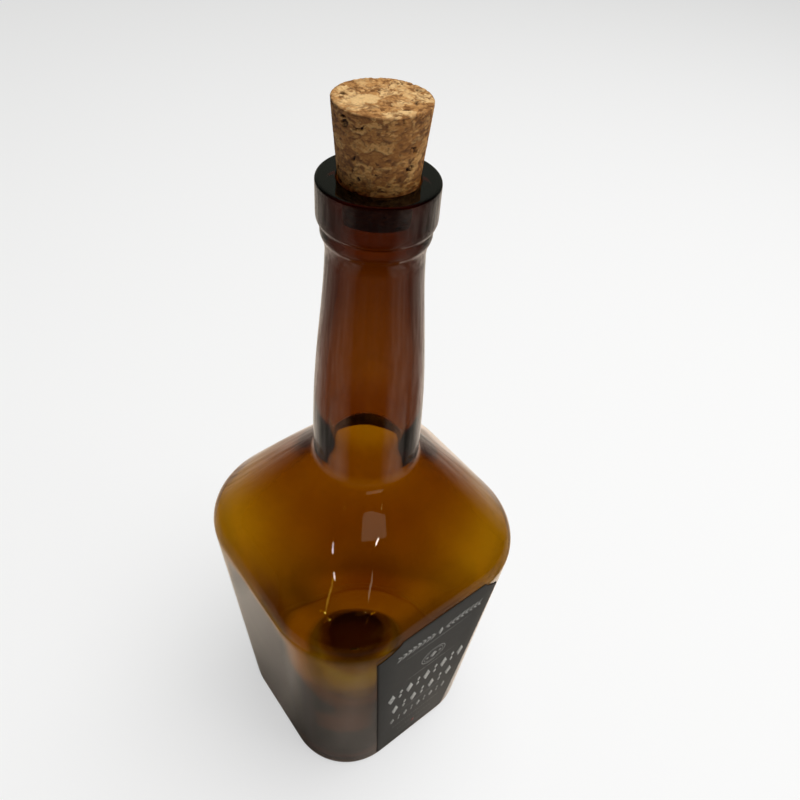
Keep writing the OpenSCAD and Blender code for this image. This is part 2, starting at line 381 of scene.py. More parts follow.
# Height and thickness: thin at the shoulder's edge, thick at the neck's foot
WALLS = [(0, BODY_WALL), (BODY_H, EDGE_WALL), (BODY_H + SHOULDER_EDGE_R, SLOPE_WALL),
         (CORNER_Z, FOOT_WALL), (FILLET_Z + NECK_FILLET_R, FOOT_WALL),
         (FILLET_Z + NECK_FOOT_HOLD / 2, NECK_MID_WALL), (BEAD_Z - 32, NECK_MID_WALL),
         (BEAD_Z - 8, NECK_HIGH_WALL), (CORK_Z - 1, NECK_TOP_R - CORK_LOW_R - CORK_GAP)]


def shoulder_c(x):
    """The same on the shoulder, by half width: round at the neck, square at the edge."""
    return max(0.0, x * SQUARENESS * (x - NECK_BASE_R) / (half_w(BODY_H) - NECK_BASE_R))


def span(start, end, count, last=False):
    """Evenly spaced values, without the last one unless it is asked for."""
    return [start + (end - start) * i / count for i in range(count + (1 if last else 0))]


def edge_roll_x(a):
    """Half width on the roll over the shoulder's edge, never past the widest place."""
    return min(EDGE_X + SHOULDER_EDGE_R * math.cos(a), half_w(BODY_H))


def skin_stations():
    """Height, half width, corner centre and outward normal up the body, shoulder and neck's foot."""
    out = []
    for z in span(0, BODY_H, BODY_RINGS):
        out.append((z, half_w(z), corner_c(z), math.cos(LEAN), -math.sin(LEAN)))
    for a in span(-LEAN, math.pi / 2 - SLOPE, ROLL_RINGS):
        x = edge_roll_x(a)
        out.append((EDGE_Z + SHOULDER_EDGE_R * math.sin(a), x, shoulder_c(x), math.cos(a), math.sin(a)))
    n = (math.sin(SLOPE), math.cos(SLOPE))
    start = (EDGE_X + SHOULDER_EDGE_R * n[0], EDGE_Z + SHOULDER_EDGE_R * n[1])
    end = (FILLET_X - NECK_FILLET_R * n[0], FILLET_Z - NECK_FILLET_R * n[1])
    for t in span(0, 1, SLOPE_RINGS):
        swell = SLOPE_BULGE * 4 * t * (1 - t)
        x = start[0] + (end[0] - start[0]) * t
        z = start[1] + (end[1] - start[1]) * t
        out.append((z + swell * n[1], x + swell * n[0], shoulder_c(x), n[0], n[1]))
    for a in span(math.pi / 2 - SLOPE, 0, FILLET_RINGS):
        x = FILLET_X - NECK_FILLET_R * math.cos(a)
        out.append((FILLET_Z - NECK_FILLET_R * math.sin(a), x, shoulder_c(x), math.cos(a), math.sin(a)))
    return out


def offset_ring(station, offset):
    z, x, c, nx, nz = station
    return (z + offset * nz, x + offset * nx, c)


def bezier(t, a, b, c, d):
    return (1 - t) ** 3 * a + 3 * (1 - t) ** 2 * t * b + 3 * (1 - t) * t * t * c + t ** 3 * d


def between(t, p, q, r, s):
    """A point between q and r on a smooth curve through p, q, r and s."""
    return 0.5 * (2 * q + (r - p) * t + (2 * p - 5 * q + 4 * r - s) * t * t
                  + (3 * q - p - 3 * r + s) * t ** 3)


def curve_through(points, steps):
    """A smooth curve through the points, with so many steps between two of them."""
    ends = [points[0]] + points + [points[-1]]
    out = []
    for four in zip(ends, ends[1:], ends[2:], ends[3:]):
        for t in span(0, 1, steps):
            out.append(tuple(between(t, *values) for values in zip(*four)))
    return out + [points[-1]]


def neck_rings():
    rise = BEAD_Z - FILLET_Z
    out = []
    for t in span(0, 1, NECK_RINGS):
        z = FILLET_Z + bezier(t, 0, NECK_FOOT_HOLD, rise - NECK_TOP_HOLD, rise)
        out.append((z, bezier(t, NECK_BASE_R, NECK_BASE_R, NECK_TOP_R, NECK_TOP_R), 0.0))
    return out


def arc_rings(x, z, r, start, end, count):
    return [(z + r * math.sin(a), x + r * math.cos(a), 0.0)
            for a in span(math.radians(start), math.radians(end), count, True)]


def heel_rings():
    """The rounded heel, up to the leaning side, and the height where it ends."""
    r = HEEL_R
    centre = half_w(r) - r / math.cos(LEAN)
    out = []
    for a in span(-math.pi / 2, -LEAN, HEEL_RINGS):
        z = r + r * math.sin(a)
        x = centre + r * math.cos(a)
        out.append((z, x, max(0.0, min(corner_c(z), x - 1))))
    return out, r - r * math.sin(LEAN)


def punt_rings(heel_ring):
    """From the axis out over the hollow under the base to the heel."""
    z, x, c = heel_ring
    ball = (PUNT_R ** 2 + PUNT_H ** 2) / (2 * PUNT_H)
    out = []
    for t in span(0, 1, PUNT_RINGS)[1:]:
        r = PUNT_R * t
        out.append((PUNT_H - ball + math.sqrt(ball ** 2 - r ** 2), r, 0.0))
    for t in span(0, 1, 10):
        out.append((z, PUNT_R + (x - PUNT_R) * t, c * t))
    return out


def ring_points(ring, around):
    """A rounded square with flats at half width x and corners centred at c."""
    z, x, c = ring
    a = np.arange(around) * 2 * math.pi / around
    a = a + CORNER_FOCUS / 4 * np.sin(4 * a)
    ct, st = np.cos(a), np.sin(a)
    ax, ay = np.abs(ct), np.abs(st)
    r = x / np.maximum(ax, ay)
    corner = (r * ax > c) & (r * ay > c)
    b = (ax + ay) * c
    rc = x - c
    arc = b + np.sqrt(np.maximum(b * b - (2 * c * c - rc * rc), 0))
    r = np.where(corner, arc, r)
    return np.stack([r * ct, r * st, np.full(around, z)], -1)


def closed_loft(rings, low_z, high_z, around):
    """Rings from a pole on the axis to another pole on the axis."""
    n = len(rings)
    points = np.concatenate([ring_points(r, around) for r in rings]
                            + [np.array([[0, 0, low_z], [0, 0, high_z]])])
    faces = []
    for j in range(n - 1):
        for i in range(around):
            k = (i + 1) % around
            faces.append((j * around + i, j * around + k, (j + 1) * around + k, (j + 1) * around + i))
    low, high = n * around, n * around + 1
    for i in range(around):
        k = (i + 1) % around
        faces.append((low, k, i))
        faces.append((high, (n - 1) * around + i, (n - 1) * around + k))
    return points, faces


def ramp_points(z, points):
    """Smooth value between (height, value) points."""
    if z <= points[0][0]:
        return points[0][1]
    for (z0, v0), (z1, v1) in zip(points, points[1:]):
        if z < z1:
            return v0 + (v1 - v0) * smooth_step(z0, z1, z)
    return points[-1][1]


def inside_floor_rings(x):
    """The inside's flat floor out to half width x, and its rounded edge."""
    r = FLOOR_EDGE_R
    out = []
    for d in span(0, x, INSIDE_FLOOR_RINGS, True)[1:]:
        square = smooth_step(MOUND_R - MOUND_MARGIN, x, d) * SQUARES[0][1]
        out.append((BASE_T, d, corner_c(BASE_T) * square * d / x))
    for a in span(-math.pi / 2, -LEAN, ROLL_RINGS)[1:]:
        z = BASE_T + r + r * math.sin(a)
        w = x + r * math.cos(a)
        out.append((z, w, min(corner_c(z), w - 1) * ramp_points(z, SQUARES)))
    return out


def inner_rings(stations):
    """The inside from the floor's middle up to the rim."""
    floor_top = BASE_T + FLOOR_EDGE_R
    out = inside_floor_rings(half_w(floor_top) - BODY_WALL - FLOOR_EDGE_R / math.cos(LEAN))
    for station in stations:
        height = station[0]
        if height < floor_top:
            continue
        z, w, c = offset_ring(station, -ramp_points(height, WALLS))
        drop = (EDGE_DROP * smooth_step(BODY_H - EDGE_DROP_REACH, BODY_H, height)
                * smooth_step(CORNER_Z, CORNER_Z - EDGE_DROP_REACH, height))
        out.append((z - drop, w, c * ramp_points(z, SQUARES)))
    for z, w, c in neck_rings():
        if z < CORK_Z - 1.5:
            out.append((z, w - ramp_points(z, WALLS), c))
    for z in span(CORK_Z - 1, TOP_Z - MOUTH_R, 14):
        out.append((z, CORK_LOW_R + CORK_GAP + max(0.0, z - CORK_Z) * CORK_TAPER, 0.0))
    return out + arc_rings(BORE_R + MOUTH_R, TOP_Z - MOUTH_R, MOUTH_R, 180, 90, 8)


def outer_rings(stations):
    """The outside from the middle of the hollow under the base up to the mouth."""
    heel, heel_top = heel_rings()
    finish_low, finish_high = BEAD_Z + FINISH[0][0], BEAD_Z + FINISH[-1][0]
    lip_x, lip_z = LIP_R - LIP_EDGE_R, TOP_Z - LIP_EDGE_R
    out = punt_rings(heel[0]) + heel
    out += [offset_ring(station, 0) for station in stations if station[0] > heel_top]
    out += [ring for ring in neck_rings() if ring[0] < finish_low - 0.5]
    out += [(BEAD_Z + z, r, 0.0) for z, r in curve_through(FINISH, 7)]
    out += [(z, LIP_R, 0.0) for z in span(finish_high + 0.5, lip_z, 6)]
    out += arc_rings(lip_x, lip_z, LIP_EDGE_R, 0, 90, 10)
    return out + [(TOP_Z, r, 0.0) for r in span(lip_x - 0.6, BORE_R + MOUTH_R + 0.3, 5)]


def waves(points, size, seed, depth):
    return fractal(points / size, seed, octaves=2) * depth


def push_out(points, amount):
    """Moves points away from the axis, in place."""
    radius = np.linalg.norm(points[:, :2], axis=1) + TINY
    points[:, :2] += points[:, :2] / radius[:, None] * amount[:, None]


def wander_inside(points):
    """Blown glass is never even: the inside wanders a little from the mould's surface."""
    fade = smooth_step(CORK_Z - 1, CORK_Z - 12, points[:, 2])
    push_out(points, sum(waves(points, *wave) for wave in INSIDE_WAVES) * fade)


def ripple_outside(points):
    """The skin ripples a little, and the mould's seams stand up from it."""
    z = points[:, 2]
    fade = smooth_step(0.5, 4, z) * smooth_step(BEAD_Z, BEAD_Z - 6, z)
    turn = np.arctan2(np.abs(points[:, 1]), np.abs(points[:, 0]))
    aside = (turn - SEAM_TURN) * np.linalg.norm(points[:, :2], axis=1)
    seam = SEAM_H * np.exp(-(aside / SEAM_W) ** 2) * smooth_step(CORNER_Z, CORNER_Z - 8, z)
    push_out(points, (seam - np.abs(waves(points, *OUTSIDE_WAVE))) * fade)


def build_bottle():
    stations = skin_stations()
    outer, inner = outer_rings(stations), inner_rings(stations)
    points, faces = closed_loft(outer + inner[::-1], PUNT_H, BASE_T, GLASS_AROUND)
    inside = points[len(outer) * GLASS_AROUND:]
    on_floor = np.abs(inside[:, 2] - BASE_T) < 1e-6
    reach = np.hypot(inside[:, 0] - MOUND_PLACE[0], inside[:, 1] - MOUND_PLACE[1])
    inside[:, 2] += MOUND_H * smooth_step(MOUND_R, MOUND_TOP_R, reach) * on_floor
    # The last two points are the poles, which rise with the mound but don't wander
    wander_inside(inside[:-2])
    ripple_outside(points[:len(outer) * GLASS_AROUND])
    return make_object("glass_bottle", points, faces)


# ---------------------------------------------------------------- cork

def cork_rings(z0, z1, top_r, step):
    low_x, top_x = CORK_LOW_R - CORK_EDGE_R, top_r - CORK_EDGE_R
    low_z, high_z = z0 + CORK_EDGE_R, z1 - CORK_EDGE_R
    rings = [(z0, r) for r in span(0.4, low_x, 18)]
    for a in span(-math.pi / 2, 0, 4):
        rings.append((low_z + CORK_EDGE_R * math.sin(a), low_x + CORK_EDGE_R * math.cos(a)))
    for t in span(0, 1, int((high_z - low_z) / step)):
        rings.append((low_z + (high_z - low_z) * t, CORK_LOW_R + (top_r - CORK_LOW_R) * t))
    for a in span(0, math.pi / 2, 5):
        rings.append((high_z + CORK_EDGE_R * math.sin(a), top_x + CORK_EDGE_R * math.cos(a)))
    rings += [(z1, r) for r in span(top_x, 0.15, int(top_r / step), True)]
    return [(z, r, 0.0) for z, r in rings]


def cork_outward(points, z0, z1):
    """The outward direction at each point, and how far the point is on the side."""
    radius = np.linalg.norm(points[:, :2], axis=1)[:, None] + TINY
    flat_top = smooth_step(z1 - 0.6, z1 - 0.05, points[:, 2])
    flat_low = smooth_step(z0 + 0.6, z0 + 0.05, points[:, 2])
    on_side = (1 - flat_top) * (1 - flat_low)
    out = np.empty_like(points)
    out[:, :2] = points[:, :2] / radius * on_side[:, None]
    out[:, 2] = flat_top - flat_low
    return out / (np.linalg.norm(out, axis=1)[:, None] + TINY), on_side


def cork_chips(points, warp, mottle):
    """Granules pressed together: how light each is, and its dark torn edges and blotches."""
    patch = fractal(points / PATCH_SIZE, seed=31, octaves=2)
    blotch = fractal((points + 0.35 * warp) / BLOTCH_SIZE, seed=91)
    near, second, tag = cells((points + 0.45 * warp) / CHIP_SIZE, seed=21)
    edge = (1 - smooth_step(0.0, 0.28, second - near)) * smooth_step(-0.15, 0.4, patch + 0.5 * mottle)
    near, second, small_tag = cells((points + 0.3 * warp) / SMALL_CHIP_SIZE, seed=43)
    small_edge = ((1 - smooth_step(0.0, 0.32, second - near))
                  * smooth_step(-0.05, 0.45, 0.6 * mottle - patch))
    tone = (0.62 + 0.66 * (tag - 0.5) + 0.32 * (small_tag - 0.5) + 0.20 * mottle
            - 0.30 * np.clip(blotch, 0, 1))
    dark = np.maximum(0.85 * edge, 0.65 * small_edge)
    dark = np.maximum(dark, 0.9 * smooth_step(0.28, 0.62, blotch + 0.25 * patch))
    return tone, dark * (0.85 + 0.35 * mottle)


def cork_flake(points, warp, top_z):
    """How far each point belongs to the pale flake in the top."""
    place = np.array(FLAKE_PLACE + (top_z,))
    reach = np.linalg.norm((points + 0.9 * warp - place) / FLAKE_SIZE, axis=1)
    return 1 - smooth_step(0.75, 1.1, reach)


def cork_pits(points, warp, mottle):
    """Cavities: torn holes of two sizes where only some of the granules are missing."""
    near, _, tag = cells((points + 0.8 * warp) / PIT_SIZE, seed=143)
    pit = (1 - smooth_step(0.13, 0.32, near + 0.20 * mottle)) * (tag > 0.78)
    near, _, tag = cells((points + 0.4 * warp) / SMALL_PIT_SIZE, seed=190)
    small_pit = (1 - smooth_step(0.14, 0.38, near + 0.1 * mottle)) * (tag > 0.96)
    return np.maximum(pit, 0.8 * small_pit)


def build_cork():
    low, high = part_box("cork_stopper")
    z0, z1 = low.z / MM, high.z / MM
    top_r = (high.x - low.x) / 2 / MM
    rings = cork_rings(z0, z1, top_r, 2 * math.pi * top_r / CORK_AROUND)
    points, faces = closed_loft(rings, z0, z1, CORK_AROUND)
    out, on_side = cork_outward(points, z0, z1)
    warp = np.stack([fractal(points / WARP_SIZE, seed) for seed in (3, 5, 9)], -1)
    mottle = fractal(points / MOTTLE_SIZE, seed=61)
    tone, dark = cork_chips(points, warp, mottle)
    flake = cork_flake(points, warp, z1)
    tone = tone * (1 - flake) + (0.93 + 0.10 * mottle) * flake
    dark = dark * (1 - 0.7 * flake)
    pit = cork_pits(points, warp, mottle)
    from_rim = np.hypot(np.linalg.norm(points[:, :2], axis=1) - top_r, points[:, 2] - z1)
    rim = np.exp(-(from_rim / RIM_W) ** 2)
    chip = rim * smooth_step(0.1, 0.9, fractal(points / RIM_CHIP_SIZE, seed=99, octaves=2))
    depth = 0.10 * dark + 0.50 * pit + 0.05 * (1 - tone) + 0.30 * chip + 0.02 * (mottle + 1)
    # Darker at the rim from wear, and painted shade on the part below the lip's top, inside the neck
    worn = rim * 0.35 + smooth_step(TOP_Z + 0.6, TOP_Z - 1.2, points[:, 2])
    points -= out * np.clip(depth, 0, DEEPEST_PIT)[:, None]
    obj = make_object("cork", points, faces)
    # The low part, inside the neck, is darkened through the same worn value as the rim: painted shade
    # there, wear at the rim
    for name, values in (("tone", tone), ("seam", dark), ("pit", pit), ("side", on_side), ("worn", worn)):
        set_attribute(obj, name, np.clip(values, 0, 1))
    return obj


# ---------------------------------------------------------------- label

def surface_point(s, z, lift):
    """A point on the front of the bottle: s along the surface from the face's middle, at height z."""
    if z <= BODY_H:
        x, c, dz = half_w(z), corner_c(z), 0.0
    else:
        a = math.asin(min(1.0, (z - EDGE_Z) / SHOULDER_EDGE_R))
        x = edge_roll_x(a)
        c, dz = shoulder_c(x), lift * math.sin(a)
    rc = x - c
    m = abs(s)
    if m <= c:
        px, py = m, -(x + lift)
    else:
        th = (m - c) / rc
        px, py = c + (rc + lift) * math.sin(th), -(c + (rc + lift) * math.cos(th))
    return (math.copysign(px, s), py, z + dz)


def label_half_width(z):
    if z > LABEL_CUT_Z:
        return LABEL_TOP_W / 2 - (z - LABEL_CUT_Z)
    rise = (z - LABEL_FOOT) / (LABEL_CUT_Z - LABEL_FOOT)
    return (LABEL_BOTTOM_W + (LABEL_TOP_W - LABEL_BOTTOM_W) * rise) / 2


class Sheets:
    """Closed thin sheets over rows of (s, z) points, between two lifts off the glass."""

    def __init__(self, low, high):
        self.low, self.high = low, high
        self.points, self.faces, self.tones = [], [], []

    def add(self, rows, tone=1.0):
        n, m = len(rows), len(rows[0])
        back = len(self.points)
        front = back + n * m
        for lift in (self.low, self.high):
            self.points += [surface_point(s, z, lift) for row in rows for s, z in row]
        self.tones += [tone] * (2 * n * m)
        for j in range(n - 1):
            for i in range(m - 1):
                a = j * m + i
                self.faces.append((front + a, front + a + 1, front + a + m + 1, front + a + m))
                self.faces.append((back + a + m, back + a + m + 1, back + a + 1, back + a))
        rim = (list(range(m)) + [j * m + m - 1 for j in range(1, n)]
               + [(n - 1) * m + i for i in range(m - 2, -1, -1)] + [j * m for j in range(n - 2, 0, -1)])
        for a, b in zip(rim, rim[1:] + rim[:1]):
            self.faces.append((back + a, back + b, front + b, front + a))

    def stroke(self, curve, width, tone=1.0, steps=40):
        """A pen stroke along curve(t), width(t) wide, for t from 0 to 1."""
        rows = []
        for t in span(0, 1, steps, True):
            (s0, z0), (s1, z1) = curve(max(0.0, t - 0.002)), curve(min(1.0, t + 0.002))
            length = math.hypot(s1 - s0, z1 - z0) + TINY
            across = (-(z1 - z0) / length, (s1 - s0) / length)
            s, z = curve(t)
            h = width(t) / 2
            rows.append([(s + across[0] * h * k, z + across[1] * h * k) for k in (1, 0, -1)])
        self.add(rows, tone)

    def lozenge(self, s, z, width, height, tone=1.0):
        rows = [[(s + (width / 2 * (1 - abs(v)) + 0.02) * u, z + height / 2 * v) for u in (-1, 0, 1)]
                for v in span(-1, 1, 8, True)]
        self.add(rows, tone)

    def rule(self, z, reach, width, tone):
        """A level line that tapers to both ends."""
        self.stroke(lambda t: (-reach + 2 * reach * t, z),
                    lambda t: width * (0.15 + math.sin(math.pi * t)), tone, 30)

    def object(self, name):
        obj = make_object(name, self.points, self.faces)
        set_attribute(obj, "tone", self.tones)
        return obj


def build_label():
    """The paper: wider at the top, its two top corners cut."""
    sheet = Sheets(GLUE_T, GLUE_T + LABEL_T)
    rows = []
    margins = []
    for z in span(LABEL_FOOT, LABEL_CUT_Z, 94) + span(LABEL_CUT_Z, LABEL_TOP_Z, 12, True):
        w = label_half_width(z)
        row = [(w * t, z) for t in span(-1, 1, 60, True)]
        margins += [min(w - abs(s), z - LABEL_FOOT, LABEL_TOP_Z - z) for s, z in row]
        rows.append(row)
    sheet.add(rows)
    obj = sheet.object("paper_label")
    set_attribute(obj, "edge", [max(0.0, 1 - m / PAPER_EDGE) for m in margins * 2])
    return obj


def laurel_stem(t):
    """The right-hand stem, which bows as it leaves the middle."""
    return LAUREL_START + LAUREL_REACH * t, LAUREL_Z + LAUREL_SWAY * math.sin(math.pi * t)


def print_leaf(ink, s, z, lean):
    """A pointed leaf that grows from (s, z) towards the angle lean."""
    def spine(t):
        return s + LEAF_L * t * math.cos(lean), z + LEAF_L * t * math.sin(lean)
    ink.stroke(spine, lambda t: 0.05 + 0.34 * LEAF_L * math.sin(math.pi * t) ** 0.8, 0.62, 8)


def print_laurel(ink):
    """Two stems with pairs of leaves, and a lozenge between them."""
    ink.stroke(laurel_stem, lambda t: 0.3, 0.5, 60)
    ink.stroke(lambda t: (-laurel_stem(t)[0], laurel_stem(t)[1]), lambda t: -0.3, 0.5, 60)
    for i in range(LEAF_PAIRS):
        s, z = laurel_stem((i + 0.3) / LEAF_PAIRS)
        for side in (-1, 1):
            for lean in (LEAF_LEAN, -LEAF_LEAN):
                print_leaf(ink, side * s, z, lean if side > 0 else math.pi - lean)
    ink.lozenge(0, LAUREL_Z, 1.9, 5.2, 0.75)


def print_ring(ink, share, width):
    """An oval line at a share of the oval's size."""
    def ring(t):
        turn = 2 * math.pi * t
        return OVAL_W * share * math.cos(turn), OVAL_Z + OVAL_H * share * math.sin(turn)
    ink.stroke(ring, lambda t: width, 0.6, 60)


def print_oval(ink):
    """Two oval lines round three lozenges."""
    print_ring(ink, 1.0, 0.36)
    print_ring(ink, 0.8, 0.18)
    ink.lozenge(0, OVAL_Z, 3.0, 4.6, 0.72)
    for s in (-2.7, 2.7):
        ink.lozenge(s, OVAL_Z, 1.3, 1.8, 0.6)


def print_row(ink, z, reach, height, count, tone):
    """Tall lozenges, with two small ones above each other in each gap."""
    for i, s in enumerate(span(-reach, reach, count - 1, True)):
        if i % 2:
            for dz in (height * 0.24, -height * 0.24):
                ink.lozenge(s, z + dz, height * 0.17, height * 0.42, tone)
        else:
            ink.lozenge(s, z, height * 0.36, height, tone)


def build_print():
    """Ornament in pale ink: a laurel, an oval, rows of lozenges and dots, and fine rules; one red mark."""
    ink = Sheets(GLUE_T + LABEL_T, GLUE_T + LABEL_T + INK_T)
    print_laurel(ink)
    print_oval(ink)
    for z, reach, width, tone in RULES:
        ink.rule(z, reach, width, tone)
    for z, reach, height, count, tone in PRINT_ROWS:
        print_row(ink, z, reach, height, count, tone)
    for z, reach, width, height, count, tone in DOT_ROWS:
        for s in span(-reach, reach, count - 1, True):
            ink.lozenge(s, z, width, height, tone)
    red = Sheets(GLUE_T + LABEL_T, GLUE_T + LABEL_T + INK_T)
    red.lozenge(0, MARK_Z, 2.0, 2.8)
    return ink.object("label_print"), red.object("label_mark")


# ---------------------------------------------------------------- materials

class Graph:
    """A node tree, emptied, with short ways to add to it."""

    def __init__(self, tree):
        self.nodes, self.links = tree.nodes, tree.links
        self.nodes.clear()

    def node(self, kind, **settings):
        node = self.nodes.new("ShaderNode" + kind)
        for name, value in settings.items():
            setattr(node, name, value)
        return node

    def feed(self, socket, value):
        """Links a socket to a node's output, or gives it a constant."""
        if isinstance(value, bpy.types.NodeSocket):
            self.links.new(value, socket)
        else:
            socket.default_value = value

    def math(self, operation, *values, clamp=False):
        node = self.node("Math", operation=operation, use_clamp=clamp)
        for socket, value in zip(node.inputs, values):
            self.feed(socket, value)
        return node.outputs[0]

    def product(self, *values):
        total = values[0]
        for value in values[1:]:
            total = self.math("MULTIPLY", total, value)
        return total

    def ranged(self, value, low, high, to_low, to_high, kind="LINEAR"):
        node = self.node("MapRange", interpolation_type=kind)
        sockets = ("Value", "From Min", "From Max", "To Min", "To Max")
        for name, content in zip(sockets, (value, low, high, to_low, to_high)):
            self.feed(node.inputs[name], content)
        return node.outputs[0]

    def smooth(self, value, low, high, to_low=0.0, to_high=1.0):
        return self.ranged(value, low, high, to_low, to_high, "SMOOTHSTEP")

    def vector_math(self, operation, *vectors):
        node = self.node("VectorMath", operation=operation)
        for socket, vector in zip(node.inputs, vectors):
            self.feed(socket, vector)
        return node.outputs["Value"]

    def mix(self, factor, a, b, data_type="FLOAT", blend_type="MIX"):
        node = self.node("Mix", data_type=data_type, blend_type=blend_type)
        for name, value in (("Factor", factor), ("A", a), ("B", b)):
            self.feed(node.inputs[name], value)
        return node.outputs["Result"]

    def colour(self, factor, a, b, blend_type="MIX"):
        return self.mix(factor, a, b, "RGBA", blend_type)

    def mix_shaders(self, factor, a, b, output):
        node = self.node("MixShader")
        for socket, value in zip(node.inputs, (factor, a.outputs[0], b.outputs[0])):
            self.feed(socket, value)
        self.feed(output, node.outputs[0])

    def ramp(self, value, *stops):
        """A colour ramp through (position, colour) stops, first and last ones first."""
        node = self.node("ValToRGB")
        elements = node.color_ramp.elements
        for element, (position, colour) in zip(elements, stops):
            element.position, element.color = position, colour
        for position, colour in stops[2:]:
            elements.new(position).color = colour
        self.feed(node.inputs[0], value)
        return node.outputs[0]

    def attribute(self, name):
        return self.node("Attribute", attribute_name=name).outputs["Fac"]

    def noise(self, scale, detail, stretch=(1, 1, 1)):
        mapping = self.node("Mapping")
        mapping.inputs["Scale"].default_value = stretch
        self.feed(mapping.inputs["Vector"], self.node("TexCoord").outputs["Object"])
        noise = self.node("TexNoise")
        noise.inputs["Scale"].default_value = scale
        noise.inputs["Detail"].default_value = detail
        self.feed(noise.inputs["Vector"], mapping.outputs["Vector"])
        return noise.outputs["Fac"]

    def bump(self, height, strength, distance):
        node = self.node("Bump")
        node.inputs["Strength"].default_value = strength
        node.inputs["Distance"].default_value = distance
        self.feed(node.inputs["Height"], height)
        return node.outputs[0]


def new_material(name):
    """A material, its graph, its Principled shader and its output."""
    material = bpy.data.materials.new(name)
    material.use_nodes = True
    graph = Graph(material.node_tree)
    output = graph.node("OutputMaterial")
    shader = graph.node("BsdfPrincipled")
    graph.feed(output.inputs["Surface"], shader.outputs[0])
    return material, graph, shader, output


def glass_material():
    """Clear glass that takes out the blue, and some of the green, with depth."""
    material, graph, shader, output = new_material("amber_glass")
    shader.inputs["Base Color"].default_value = (1, 1, 1, 1)
    shader.inputs["Transmission Weight"].default_value = 1.0
    shader.inputs["IOR"].default_value = 1.51
    shader.inputs["Roughness"].default_value = 0.01
    absorb = graph.node("VolumeAbsorption")
    absorb.inputs["Color"].default_value = (0.830, 0.700, 0.0, 1)
    absorb.inputs["Density"].default_value = 1600.0
    graph.feed(output.inputs["Volume"], absorb.outputs[0])
    return material


def cork_material():
    """Granules from dark to pale tan; darker on the side, where worn, and in the seams; painted shade on
    the part inside the neck and in the pits.
    """
    material, graph, shader, _ = new_material("cork")
    fine = graph.noise(2600.0, 4.0, (1, 1, 1.8))
    tone = graph.math("ADD", graph.attribute("tone"), graph.math("MULTIPLY_ADD", fine, 0.5, -0.25))
    base = graph.ramp(tone, (0.1, (0.31, 0.145, 0.045, 1)), (0.95, (0.70, 0.46, 0.21, 1)),
                      (0.5, (0.46, 0.235, 0.08, 1)))
    base = graph.colour(graph.attribute("side"), base, (0.96, 0.80, 0.58, 1), "MULTIPLY")
    # worn: darker from wear at the rim, and painted shade on the part inside the neck
    base = graph.colour(graph.attribute("worn"), base, (0.42, 0.27, 0.17, 1), "MULTIPLY")
    base = graph.colour(graph.attribute("seam"), base, (0.13, 0.050, 0.014, 1))
    # Pits painted nearly black: the cork's own dark pores, and painted shade in the cavities
    base = graph.colour(graph.attribute("pit"), base, (0.038, 0.015, 0.006, 1))
    graph.feed(shader.inputs["Base Color"], base)
    graph.feed(shader.inputs["Roughness"], graph.ranged(fine, 0.0, 1.0, 0.72, 0.95))
    graph.feed(shader.inputs["Normal"], graph.bump(fine, 0.45, 0.0002))
    return material


def paper_material():
    """Charcoal paper with fibres, blotches and a darker, browned edge."""
    material, graph, shader, _ = new_material("label_paper")
    fibre = graph.noise(900.0, 5.0, (1.0, 1.0, 0.35))
    blotch = graph.noise(60.0, 3.0)
    base = graph.colour(fibre, (0.052, 0.052, 0.049, 1), (0.088, 0.088, 0.082, 1))
    base = graph.colour(blotch, base, (0.80, 0.78, 0.74, 1), "MULTIPLY")
    base = graph.colour(graph.attribute("edge"), base, (0.020, 0.012, 0.008, 1))
    graph.feed(shader.inputs["Base Color"], base)
    graph.feed(shader.inputs["Roughness"], graph.ranged(fibre, 0.0, 1.0, 0.55, 0.78))
    graph.feed(shader.inputs["Normal"], graph.bump(fibre, 0.35, 0.00006))
    return material


def ink_material(name, colour):
    """Print worn thin in places, so the paper shows through."""
    material, graph, shader, _ = new_material(name)
    wear = graph.noise(1300.0, 4.0)
    worn = graph.smooth(wear, 0.42, 0.75, 0.0, 0.75)
    tone = graph.colour(graph.attribute("tone"), PAPER_TONE, colour)
    graph.feed(shader.inputs["Base Color"], graph.colour(worn, tone, PAPER_TONE))
    graph.feed(shader.inputs["Roughness"], graph.smooth(wear, 0.2, 0.8, 0.45, 0.7))
    return material


# ---------------------------------------------------------------- stage, light and camera

def stage_sheet(name, z):
    """A wide level sheet with a dull material: the sheet, its graph, shader and output."""
    bpy.ops.mesh.primitive_plane_add(size=STAGE_W, location=(0, 0, z))
    sheet = bpy.context.object
    sheet.name = name
    material, graph, shader, output = new_material(name)
    shader.inputs["Roughness"].default_value = 0.9
    shader.inputs["Specular IOR Level"].default_value = 0.0
    sheet.data.materials.append(material)
    return sheet, graph, shader, output


def share_toward(graph, place, far, direction):
    """How much of a place's distance from the axis is in a direction, from -1 to 1."""
    return graph.math("DIVIDE", graph.vector_math("DOT_PRODUCT", place, direction), far)


def painted_table_light(graph, place, far):
    """Painted light and shade of the table where the glass shows it: a pool of light, and a painted shadow
    under and beside the bottle.
    """
    under = graph.math("ADD", graph.smooth(far, *UNDER_MIDDLE), graph.smooth(far, *UNDER_RING))
    lit = graph.math("ADD", under, graph.smooth(far, *BESIDE))
    gleam = 1.0
    # Painted light: brighter patches added to the table's emission
    for direction, by_angle, outer_edge, inner_edge in GLEAMS:
        share = share_toward(graph, place, far, direction)
        patch = graph.product(graph.smooth(share, *by_angle), graph.smooth(far, *outer_edge),
                              graph.smooth(far, *inner_edge))
        gleam = graph.math("ADD", gleam, patch)
    return graph.product(graph.smooth(far, *POOL), lit, gleam)


